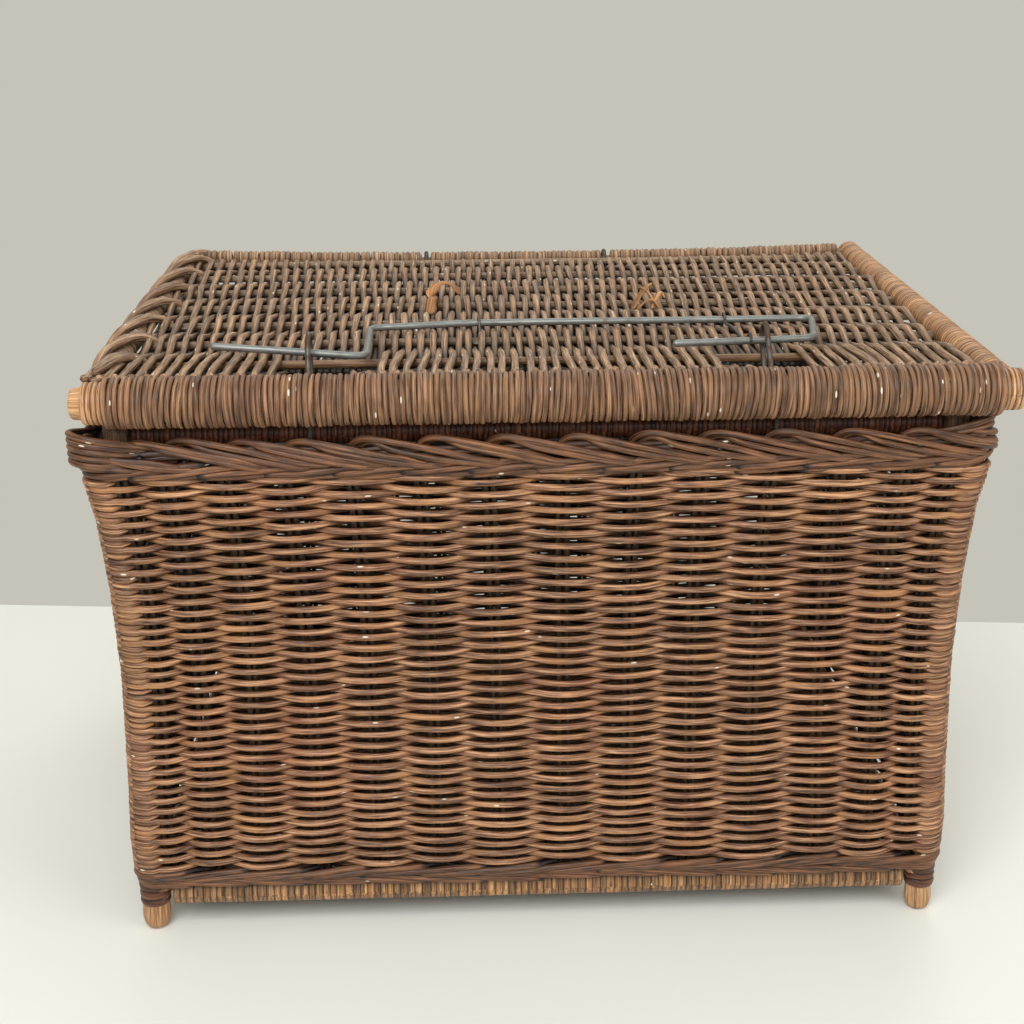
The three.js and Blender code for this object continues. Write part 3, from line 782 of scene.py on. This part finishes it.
def side_rails(rail_material, rope_material):
    """The right rail is wound with cane; the left one is covered by the bent ends of the cross rods."""
    front = ROLL.middle[1] + 9
    sides = (
        ("left", rope_material, 5.0, 3.0, 3.6, 174),
        ("right", rail_material, 0.0, 0.0, 4.1, 175),
    )
    for side, cover, further_left, thinner, pitch, seed in sides:
        box = Box(f"lid_side_wrap_{side}")
        x, _, z = box.middle - (further_left, 0, 0)
        strands = Strands()
        ends = np.array([(x, front, z), (x, BACK_RAIL.high[1], z)])
        wrapped_bar(strands, *ends, box.half[2] - thinner, pitch, 0.8, seed, sides=22)
        make_piece(strands, f"wound_side_rail_{side}", cover, "lid", "wrap_cane",
                   f"lid_side_wrap_{side}", f"lid_side_rail_{side}")

    rope = Strands()
    rail = Box("lid_side_wrap_left").middle[0] - 8.0
    rng = np.random.default_rng(180)
    for y in ROD_Y + [BACK_RAIL.high[1] - 4]:
        for twin in (0, 1):
            aside = 4.6 * twin
            route = [
                (rail + 22, y + 5, LID_Z + 1),
                (rail + 16, y, LID_Z + 6),
                (rail + 10 - aside, y - 12, LID_Z + 9.5),
                (rail + 4 - aside, y - 28, LID_Z + 10.5 - 0.4 * aside),
                (rail - 3 - 0.8 * aside, y - 44, LID_Z + 9 - 0.8 * aside),
                (rail - 7 - 0.4 * aside, y - 60, LID_Z + 5 - aside),
                (rail - 8, y - 76, LID_Z - aside),
                (rail - 6, y - 90, LID_Z - 4 - aside),
                (rail - 1, y - 99, LID_Z - 7),
            ]
            route = [point for point in route if point[1] > ROLL.high[1] + 14]
            if len(route) < 4:
                continue
            path = smooth_path(route, 30)
            path += rng.normal(0, 0.25, 3)
            path[:, 0] += 5.0 * ease((-100.0 - path[:, 1]) / 100.0)
            out = unit(path - line(rail, path[:, 1], LID_Z))
            radius = 3.1 * rng.uniform(0.92, 1.06)
            rope.add(path, radius, sides=9, tone=rng.uniform(), wear=0.85, outward=out, rounded=True)
    make_piece(rope, "left_edge_plait", rope_material, "lid", "lid_reed")


def handle_stubs(material):
    """What is left of the lid handle: a curled strip on the left, split slivers on the right."""
    base = PANEL.high[2] + 0.5
    curl = Strands()
    stub = Box("handle_stub_left")
    x, y = stub.low[0] + 2, stub.middle[1]
    arch = smooth_path([
        (x + 1, y - 3, base - 3), (x - 1, y - 1, base + 6), (x + 4, y + 2, base + 12.5),
        (x + 11, y + 3, base + 14), (x + 17, y + 2, base + 11), (x + 19, y + 1, base + 8.5),
    ], 26)
    curl.add(arch, 4.2, sides=12, up=(0.3, 0, 1), tone=0.75, wear=0.7, flat=0.24, rounded=True)
    leaf = smooth_path([
        (x - 1, y - 18, base - 2), (x, y - 13, base + 4),
        (x + 1, y - 7, base + 4.5), (x + 1, y - 2, base - 2),
    ], 16)
    curl.add(leaf, 3.8, sides=12, tone=0.35, wear=0.6, flat=0.26, rounded=True)
    make_piece(curl, "handle_curl_left", material, "lid", "stub_cane", "handle_stub_left")

    slivers = Strands()
    stub = Box("handle_stub_right")
    x, y = stub.low[0] + 4, stub.middle[1]
    runs = (
        ((-6, -9, -2), (-1, -3, 5), (4, 3, 10), (8, 6, 12)),
        ((2, 2, 10), (6, 1, 7), (9, -3, 3), (11, -6, -2)),
        ((9, -7, -2), (13, -2, 5), (16, 1, 7), (18, 0, 4)),
        ((-2, -10, -2), (4, -9, 3), (9, -9, 3), (13, -9, -2)),
    )
    for number, run in enumerate(runs):
        path = smooth_path([(x + dx, y + dy, base + dz) for dx, dy, dz in run], 18)
        slivers.add(path, 2.0, up=(0.2, 0.1, 1), tone=0.25 * number, wear=0.9, flat=0.4, rounded=True)
    make_piece(slivers, "handle_slivers_right", material, "lid", "stub_cane", "handle_stub_right")


# ---------- wire and steel ----------


def loop_path(x, low, low_radius, high, high_radius, samples=16):
    """A closed wire path in the YZ plane round two circles."""
    low = np.array(low, float)
    high = np.array(high, float)
    along = high - low
    direction = math.atan2(along[1], along[0])
    turn = math.acos((low_radius - high_radius) / np.linalg.norm(along))
    rounds = (
        (low, low_radius, direction + turn, direction - turn + 2 * math.pi),
        (high, high_radius, direction - turn, direction + turn),
    )
    points = []
    for centre, radius, first, last in rounds:
        for angle in np.linspace(first, last, samples):
            points.append((x, centre[0] + radius * math.cos(angle), centre[1] + radius * math.sin(angle)))
    return np.array(points)


def wire_loops(material):
    """Hasp eyes round the front rail and hinge rings that hold the lid's back rail to the basket's."""
    wire = 2.0
    round_rail = 0.6 + wire
    eye_radius = 7.2
    for side in ("left", "right"):
        rail = Box("top_rail_front")
        name = f"hasp_eye_{side}"
        box = Box(name)
        head = box.high[1:] - eye_radius - 2 * wire
        eye = loop_path(box.middle[0], rail.middle[1:], rail.half[2] + round_rail, head, eye_radius + wire)
        eye[:, 0] += 0.9 * np.sin((eye[:, 2] - box.low[2]) / 12.0)
        loops = [(name, eye, 0.4)]

        rail = Box("top_rail_back")
        name = f"hinge_ring_{side}"
        head = (BACK_RAIL.middle[1], LID_Z - 5.0)
        head_radius = BACK_RAIL.half[2] + 0.8 + wire
        x = Box(name).middle[0]
        ring = loop_path(x, rail.middle[1:], rail.half[2] + round_rail, head, head_radius)
        loops.append((name, ring, 0.7))
        for name, path, tone in loops:
            one_strand(f"wire_{name}", material, "basket", "wire_steel", [name], path, wire * 0.92,
                       sides=10, up=(1, 0, 0), closed=True, tone=tone)


def bent_path(corners, bend, step=3.0):
    """Straight runs with rounded bends, as points a step apart."""
    corners = [np.array(c, float) for c in corners]
    points = [corners[0]]
    for before, corner, after in zip(corners, corners[1:], corners[2:]):
        start = corner + unit(before - corner) * bend
        end = corner + unit(after - corner) * bend
        for t in np.linspace(0, 1, 9):
            points.append((1 - t) ** 2 * start + 2 * t * (1 - t) * corner + t**2 * end)
    points.append(corners[-1])
    path = [points[0]]
    for a, b in zip(points, points[1:]):
        pieces = max(1, int(np.linalg.norm(b - a) / step))
        path += [a + (b - a) * (k + 1) / pieces for k in range(pieces)]
    return np.array(path)


def lock_bar(material):
    """Two prongs and the middle run between them, which bows a little and has rust spots."""
    left_bend = BAR.low[0] + 97.5
    path = bent_path([
        (BAR.low[0] + 2, PRONG_Y + 5.5, PRONG_Z + 2.5),
        (left_bend + 2.5, PRONG_Y, PRONG_Z - 4),
        (left_bend, BAR_Y, BAR_Z),
        (BAR.high[0] - BAR_RADIUS, BAR_Y, BAR_Z),
        (BAR.high[0] - BAR_RADIUS - 17.5, PRONG_Y + 16, PRONG_Z),
        (BAR.low[0] + 301, PRONG_Y + 6, PRONG_Z),
    ], 12.0)
    sag = wobble(200, 240.0)
    path[:, 2] += 0.25 * sag(path[:, 0], path[:, 1])
    bow = ease(1 - (path[:, 0] - left_bend) / 76.0) * ease((path[:, 1] - BAR_Y + 40.0) / 40.0)
    path[:, 1] -= 8.0 * bow
    along = path[:, 0] - BAR.low[0]
    middle_run = path[:, 1] > BAR_Y - 6
    rust = 0.55 * np.exp(-((along - 262) / 14.0) ** 2) * middle_run
    rust += 0.35 * np.exp(-((along - 90) / 18.0) ** 2) * (path[:, 1] < BAR_Y - 6)
    one_strand("steel_lock_bar", material, "lock_bar", "bar_steel", ["lock_bar"],
               path, BAR_RADIUS, sides=14, wear=np.clip(rust, 0, 1), rounded=True)


def keepers(material):
    """Thin wires over the bar's middle run. The right one goes on over the prong."""
    wire = 1.0
    reach = BAR_RADIUS + wire + 0.9
    for side in ("left", "right"):
        name = f"bar_keeper_{side}"
        x = Box(name).middle[0]
        route = [
            (x - 0.5, BAR_Y + reach + 4, LID_Z + 2),
            (x, BAR_Y + reach, LID_Z + 8),
            (x, BAR_Y + reach * 0.75, BAR_Z + reach * 0.6),
            (x, BAR_Y, BAR_Z + reach),
            (x + 0.3, BAR_Y - reach * 0.8, BAR_Z + reach * 0.55),
            (x + 0.6, BAR_Y - reach - 1.5, BAR_Z - 1.5),
        ]
        if side == "right":
            prong = PRONG_Y + 13.5
            for share in (0.3, 0.65, 0.85):
                route.append((x + 0.6 + 2 * share, BAR_Y + (prong + 6 - BAR_Y) * share, BAR_Z + 4 * share))
            route.append((x + 2.6, prong + 2, PRONG_Z + BAR_RADIUS + 0.8))
            route.append((x + 2.6, prong - 1.5, PRONG_Z + BAR_RADIUS + 0.9))
            route.append((x + 2.6, prong - 4.5, PRONG_Z + 0.5))
        else:
            route.append((x + 0.8, BAR_Y - reach - 8.0, LID_Z + 3))
        one_strand(f"wire_{name}", material, "lid", "wire_steel", [name],
                   smooth_path(route, 48), wire, up=(1, 0, 0), wear=0.4, rounded=True)


# ---------- materials ----------


class Nodes:
    """A material's node tree, with a short way to add and join nodes."""

    def __init__(self, name):
        self.material = bpy.data.materials.new(name)
        self.material.use_nodes = True
        self.tree = self.material.node_tree
        self.tree.nodes.clear()

    def add(self, kind, inputs=None, **settings):
        """A node. An input is a socket to link, or a constant; a colour may leave out its alpha."""
        node = self.tree.nodes.new(kind)
        for key, value in settings.items():
            setattr(node, key, value)
        for key, value in (inputs or {}).items():
            socket = node.inputs[key]
            if isinstance(value, bpy.types.NodeSocket):
                self.tree.links.new(value, socket)
            elif socket.type == "RGBA":
                socket.default_value = (*value, 1.0)
            else:
                socket.default_value = value
        return node

    def strand_data(self):
        """The grain, tone and wear that Strands stores."""
        sockets = (("grain", "Vector"), ("tone", "Fac"), ("wear", "Fac"))
        return [self.add("ShaderNodeAttribute", attribute_name=name).outputs[out] for name, out in sockets]

    def position(self):
        return self.add("ShaderNodeTexCoord").outputs["Object"]

    def math(self, operation, a, b):
        return self.add("ShaderNodeMath", {0: a, 1: b}, operation=operation).outputs[0]

    def times(self, a, b):
        return self.math("MULTIPLY", a, b)

    def plus(self, a, b):
        return self.math("ADD", a, b)

    def vector(self, x, y=0.0, z=0.0):
        return self.add("ShaderNodeCombineXYZ", {0: x, 1: y, 2: z}).outputs[0]

    def noise(self, vector, scale, detail=3.0, roughness=0.5):
        inputs = {"Vector": vector, "Scale": scale, "Detail": detail, "Roughness": roughness}
        return self.add("ShaderNodeTexNoise", inputs).outputs["Fac"]

    def stretch(self, vector, scale):
        return self.add("ShaderNodeMapping", {"Vector": vector, "Scale": scale}).outputs[0]

    def ramp(self, factor, stops):
        node = self.add("ShaderNodeValToRGB", {"Fac": factor})
        elements = node.color_ramp.elements
        while len(elements) < len(stops):
            elements.new(0.5)
        for element, (position, colour) in zip(elements, stops):
            element.position = position
            element.color = (*colour, 1.0)
        return node.outputs["Color"]

    def spread(self, value, low, high, to_low=0.0, to_high=1.0):
        inputs = {"Value": value, "From Min": low, "From Max": high, "To Min": to_low, "To Max": to_high}
        return self.add("ShaderNodeMapRange", inputs, clamp=True).outputs[0]

    def mix(self, factor, a, b, blend="MIX"):
        node = self.add("ShaderNodeMix", {0: factor, 6: a, 7: b}, data_type="RGBA", blend_type=blend)
        return node.outputs[2]

    def finish(self, colour, roughness, height, bump_mm, **fixed):
        bump = self.add("ShaderNodeBump", {"Height": height, "Distance": bump_mm * 0.001, "Strength": 1.0})
        inputs = {"Base Color": colour, "Roughness": roughness, "Normal": bump.outputs[0]}
        shader = self.add("ShaderNodeBsdfPrincipled", inputs)
        for key, value in fixed.items():
            shader.inputs[key.replace("_", " ")].default_value = value
        output = self.add("ShaderNodeOutputMaterial")
        self.tree.links.new(shader.outputs[0], output.inputs[0])
        return self.material


def srgb(red, green, blue):
    """A colour given as 0 to 255 display values, as the linear values that shaders use."""
    def linear(value):
        value /= 255
        return value / 12.92 if value <= 0.04045 else ((value + 0.055) / 1.055) ** 2.4
    return (linear(red), linear(green), linear(blue))


def reed(name, *colours, dust=0.0, specks=0.25, gloss=0.42, spread=0.22):
    """Weathered reed: streaks along each strand, a tone of its own, painted highlights on the crowns, painted
    shade in the hollows.

    The colours are those of dark, middle and light streaks, of ochre stains and of red patches; the light one
    is also the painted highlight on the crowns.
    """
    dark, middle, light, ochre, red = (srgb(*colour) for colour in colours)
    n = Nodes(name)
    grain, tone, wear = n.strand_data()
    position = n.position()
    streaks = n.noise(n.stretch(grain, (0.03, 0.8, 0.8)), 1.0, 4.0, 0.6)
    fibres = n.noise(n.stretch(grain, (0.08, 2.2, 2.2)), 1.0, 2.0, 0.5)
    stains = n.noise(n.stretch(grain, (0.03, 0.05, 0.05)), 1.0, 3.0, 0.55)
    patches = n.noise(position, 9.0, 3.0, 0.6)
    own = n.noise(n.vector(n.times(tone, 91.0)), 1.0, 0.0)
    mottled = n.plus(n.times(streaks, 0.7), n.times(fibres, 0.3))
    colour = n.ramp(mottled, [(0.36, dark), (0.49, middle), (0.63, light)])
    colour = n.mix(n.spread(stains, 0.50, 0.72, 0.0, 0.55), colour, ochre)
    colour = n.mix(n.spread(n.plus(patches, n.times(own, 0.5)), 0.78, 1.05, 0.0, 0.5), colour, red)
    own_shade = n.spread(tone, 0.0, 1.0, 1 - spread, 1 + spread)
    brightness = n.plus(own_shade, n.spread(patches, 0.35, 0.65, -0.08, 0.08))
    # painted shade: each strand's own tone is darkened where its painted light level is low, in hollows and
    # behind stakes
    tone_and_painted_shade = n.times(brightness, n.spread(wear, 0.15, 0.72, 0.06, 1.0))
    colour = n.mix(1.0, colour, n.vector(tone_and_painted_shade, tone_and_painted_shade, tone_and_painted_shade), "MULTIPLY")
    # painted highlight: the light streak colour is laid along the crowns, where the painted light level is
    # high
    painted_crown_light = n.times(n.spread(wear, 0.62, 0.95), n.spread(fibres, 0.45, 0.7))
    colour = n.mix(n.times(painted_crown_light, 0.4), colour, light)
    if dust:
        up = n.add("ShaderNodeSeparateXYZ", {0: n.add("ShaderNodeNewGeometry").outputs["Normal"]}).outputs[2]
        settled = n.times(n.spread(up, 0.2, 1.0), n.spread(n.noise(position, 45.0, 4.0), 0.35, 0.65))
        colour = n.mix(n.times(settled, dust), colour, srgb(168, 156, 140))
    spots = n.add("ShaderNodeTexVoronoi", {"Vector": n.stretch(grain, (0.10, 0.35, 0.35)), "Scale": 1.0})
    lot = n.add("ShaderNodeSeparateColor", {0: spots.outputs["Color"]}).outputs[0]
    chosen = n.math("GREATER_THAN", lot, 1 - specks * 0.16)
    small = n.math("LESS_THAN", spots.outputs["Distance"], 0.2)
    colour = n.mix(n.times(chosen, small), colour, srgb(214, 205, 188))
    roughness = n.spread(streaks, 0.3, 0.75, gloss - 0.1, gloss + 0.18)
    height = n.plus(n.times(fibres, 0.6), n.times(streaks, 0.6))
    return n.finish(colour, roughness, height, 0.35, Specular_IOR_Level=0.42)


def metal(name, *colours, metallic):
    """Drawn wire: drawing marks along it, dull tarnish and rust where the strand's rust amount says."""
    base, dull, rust_dark, rust_light = (srgb(*colour) for colour in colours)
    n = Nodes(name)
    grain, _, wear = n.strand_data()
    drawn = n.noise(n.stretch(grain, (0.05, 3.0, 3.0)), 1.0, 3.0, 0.5)
    tarnish = n.noise(n.stretch(grain, (0.12, 0.3, 0.3)), 1.0, 4.0, 0.6)
    colour = n.mix(n.spread(drawn, 0.35, 0.65), base, dull)
    colour = n.mix(n.spread(tarnish, 0.52, 0.75, 0.0, 0.55), colour, rust_dark)
    rusty = n.spread(n.plus(n.times(wear, 1.1), n.times(tarnish, 0.7)), 0.85, 1.1)
    rust = n.mix(n.spread(n.noise(grain, 1.1, 4.0), 0.35, 0.65), rust_dark, rust_light)
    colour = n.mix(rusty, colour, rust)
    roughness = n.plus(n.spread(drawn, 0.3, 0.7, 0.42, 0.6), n.times(rusty, 0.3))
    height = n.plus(n.times(drawn, 0.3), n.times(rusty, n.noise(grain, 2.0, 3.0)))
    return n.finish(colour, roughness, height, 0.12, Metallic=metallic)


BODY_REED = reed("body_reed", (42, 25, 17), (110, 72, 50), (198, 152, 114), (178, 126, 76),
                 (106, 56, 40))
BORDER_REED = reed("border_reed", (24, 13, 8), (78, 49, 33), (142, 98, 65), (132, 88, 52),
                   (84, 46, 34))
# painted shade: the stakes get a darker copy of the reed colours, as they stand in shade inside the weave
SHADED_STAKE_REED = reed("shaded_stake_reed", (26, 16, 11), (52, 36, 23), (86, 62, 40), (84, 60, 36),
                  (60, 34, 24), specks=0.0)
LID_REED = reed("lid_reed", (48, 32, 24), (125, 94, 70), (190, 160, 130), (170, 128, 88),
                (112, 72, 58), dust=0.14, specks=0.7, gloss=0.55)
ROD_REED = reed("rod_reed", (90, 68, 52), (150, 124, 98), (200, 176, 146), (180, 146, 106),
                (136, 98, 80), dust=0.15, specks=0.4, gloss=0.55)
ROLL_REED = reed("roll_reed", (36, 22, 16), (98, 67, 47), (162, 124, 92), (154, 112, 74),
                 (92, 56, 42), dust=0.06, specks=0.5, gloss=0.48, spread=0.26)
END_REED = reed("cut_ends", (34, 24, 19), (66, 48, 36), (104, 78, 58), (92, 68, 50),
                (66, 40, 30), specks=0.0)
POLE_CANE = reed("pole_cane", (96, 62, 38), (168, 124, 84), (216, 178, 134), (190, 138, 82),
                 (130, 76, 48), specks=0.1, gloss=0.45)
WRAP_CANE = reed("wrap_cane", (60, 36, 23), (130, 92, 60), (192, 150, 104), (172, 120, 66),
                 (106, 62, 42), specks=0.1, gloss=0.42, spread=0.42)
RAIL_CANE = reed("rail_cane", (86, 54, 36), (158, 114, 78), (208, 168, 126), (190, 138, 86),
                 (136, 78, 52), specks=0.1, gloss=0.4, spread=0.3)
DARK_CANE = reed("dark_cane", (40, 20, 14), (86, 46, 32), (136, 86, 60), (116, 72, 44),
                 (78, 34, 22), specks=0.1, gloss=0.4, spread=0.35)
STUB_CANE = reed("stub_cane", (80, 42, 20), (150, 96, 50), (206, 160, 108), (176, 104, 46),
                 (140, 74, 38), specks=0.0, gloss=0.45)
BAR_STEEL = metal("bar_steel", (146, 149, 146), (112, 115, 114), (84, 66, 52), (128, 84, 56),
                  metallic=0.65)
WIRE_STEEL = metal("wire_steel", (112, 108, 102), (78, 74, 70), (74, 56, 44), (112, 78, 54),
                   metallic=0.8)

# ---------- build ----------

for side_name in SIDES:
    woven_wall(side_name, BODY_REED)
stakes(SHADED_STAKE_REED)
bottom_wale(BORDER_REED)
top_border(BORDER_REED, END_REED)
rails("bottom", WRAP_CANE, "wrap_cane", 5.0, 0.5)
rails("top", DARK_CANE, "dark_cane", 3.4, 0.7)
corner_posts(POLE_CANE, DARK_CANE)
floor(BODY_REED)
lid_strands(LID_REED)
cross_rods(ROD_REED, RAIL_CANE)
back_rail(POLE_CANE)
front_roll(ROLL_REED)
front_pole(POLE_CANE, RAIL_CANE)
side_rails(RAIL_CANE, LID_REED)
handle_stubs(STUB_CANE)
wire_loops(WIRE_STEEL)
lock_bar(BAR_STEEL)
keepers(WIRE_STEEL)


def carried_over():
    """CAD nodes that stay as they are get a material with grain that follows their length."""
    n = Nodes("plain_cane")
    position = n.position()
    streaks = n.noise(n.stretch(position, (900.0, 12.0, 900.0)), 1.0, 4.0, 0.6)
    patches = n.noise(position, 30.0, 3.0, 0.6)
    stops = [(0.3, srgb(120, 84, 52)), (0.5, srgb(170, 128, 84)), (0.7, srgb(200, 162, 116))]
    colour = n.ramp(streaks, stops)
    colour = n.mix(n.spread(patches, 0.45, 0.7, 0.0, 0.5), colour, srgb(140, 92, 58))
    material = n.finish(colour, n.spread(streaks, 0.3, 0.7, 0.45, 0.62), streaks, 0.3)
    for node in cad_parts.values():
        if not node.hide_render:
            node.data.materials.clear()
            node.data.materials.append(material)


carried_over()

# ---------- stage, lights, camera ----------


def studio():
    """A pale table that ends a little behind the hamper, plain grey behind it, and soft lights."""
    reach = TABLE_REACH
    front = [(-reach, -reach, 0), (reach, -reach, 0)]
    corners = front + [(reach, TABLE_BACK_RIGHT, 0), (-reach, TABLE_BACK_LEFT, 0)]
    floor_mesh = bpy.data.meshes.new("ground")
    floor_mesh.from_pydata(corners, [], [(0, 1, 2, 3)])
    ground = bpy.data.objects.new("ground", floor_mesh)
    n = Nodes("ground")
    cloud = n.noise(n.position(), 2.0, 3.0)
    colour = n.mix(n.spread(cloud, 0.3, 0.7), srgb(228, 230, 224), srgb(232, 234, 229))
    floor_mesh.materials.append(n.finish(colour, 0.6, cloud, 0.05))
    bpy.context.scene.collection.objects.link(ground)

    world = bpy.data.worlds.new("studio")
    world.use_nodes = True
    background = world.node_tree.nodes["Background"]
    background.inputs["Color"].default_value = (*srgb(198, 195, 184), 1.0)
    background.inputs["Strength"].default_value = 1.0
    bpy.context.scene.world = world
    bpy.context.scene.view_settings.view_transform = "Standard"

    lights = (
        ("key", (-0.5, -1.7, 1.8), 1.5, 42.0),
        ("fill", (1.7, -1.3, 1.2), 1.5, 13.0),
        ("back", (0.3, 1.4, 2.2), 1.6, 16.0),
    )
    for name, place, size, power in lights:
        data = bpy.data.lights.new(name, "AREA")
        data.size = size
        data.energy = power
        lamp = bpy.data.objects.new(name, data)
        lamp.location = place
        lamp.rotation_euler = (Vector((0, 0, 0.25)) - Vector(place)).to_track_quat("-Z", "Y").to_euler()
        bpy.context.scene.collection.objects.link(lamp)


def camera():
    """The camera stands in front of the hamper, a little left of its middle, and looks down at it."""
    place = np.array(CAMERA_PLACE) * 0.001 + ORIGIN
    pitch, heading, roll = (math.radians(angle) for angle in (CAMERA_PITCH, CAMERA_HEADING, CAMERA_ROLL))
    level = Vector((math.cos(heading), -math.sin(heading), 0))
    ahead = Vector((math.sin(heading), math.cos(heading), 0))
    forward = ahead * math.cos(pitch) - Vector((0, 0, math.sin(pitch)))
    up = level.cross(forward)
    right = level * math.cos(roll) + up * math.sin(roll)
    up = right.cross(forward)
    data = bpy.data.cameras.new("camera")
    data.lens = CAMERA_LENS
    data.sensor_width = 36.0
    data.sensor_fit = "HORIZONTAL"
    data.clip_end = 50.0
    view = bpy.data.objects.new("camera", data)
    turned = Matrix((right, up, -forward)).transposed().to_4x4()
    view.matrix_world = Matrix.Translation(Vector(place)) @ turned
    bpy.context.scene.collection.objects.link(view)
    bpy.context.scene.camera = view


studio()
camera()
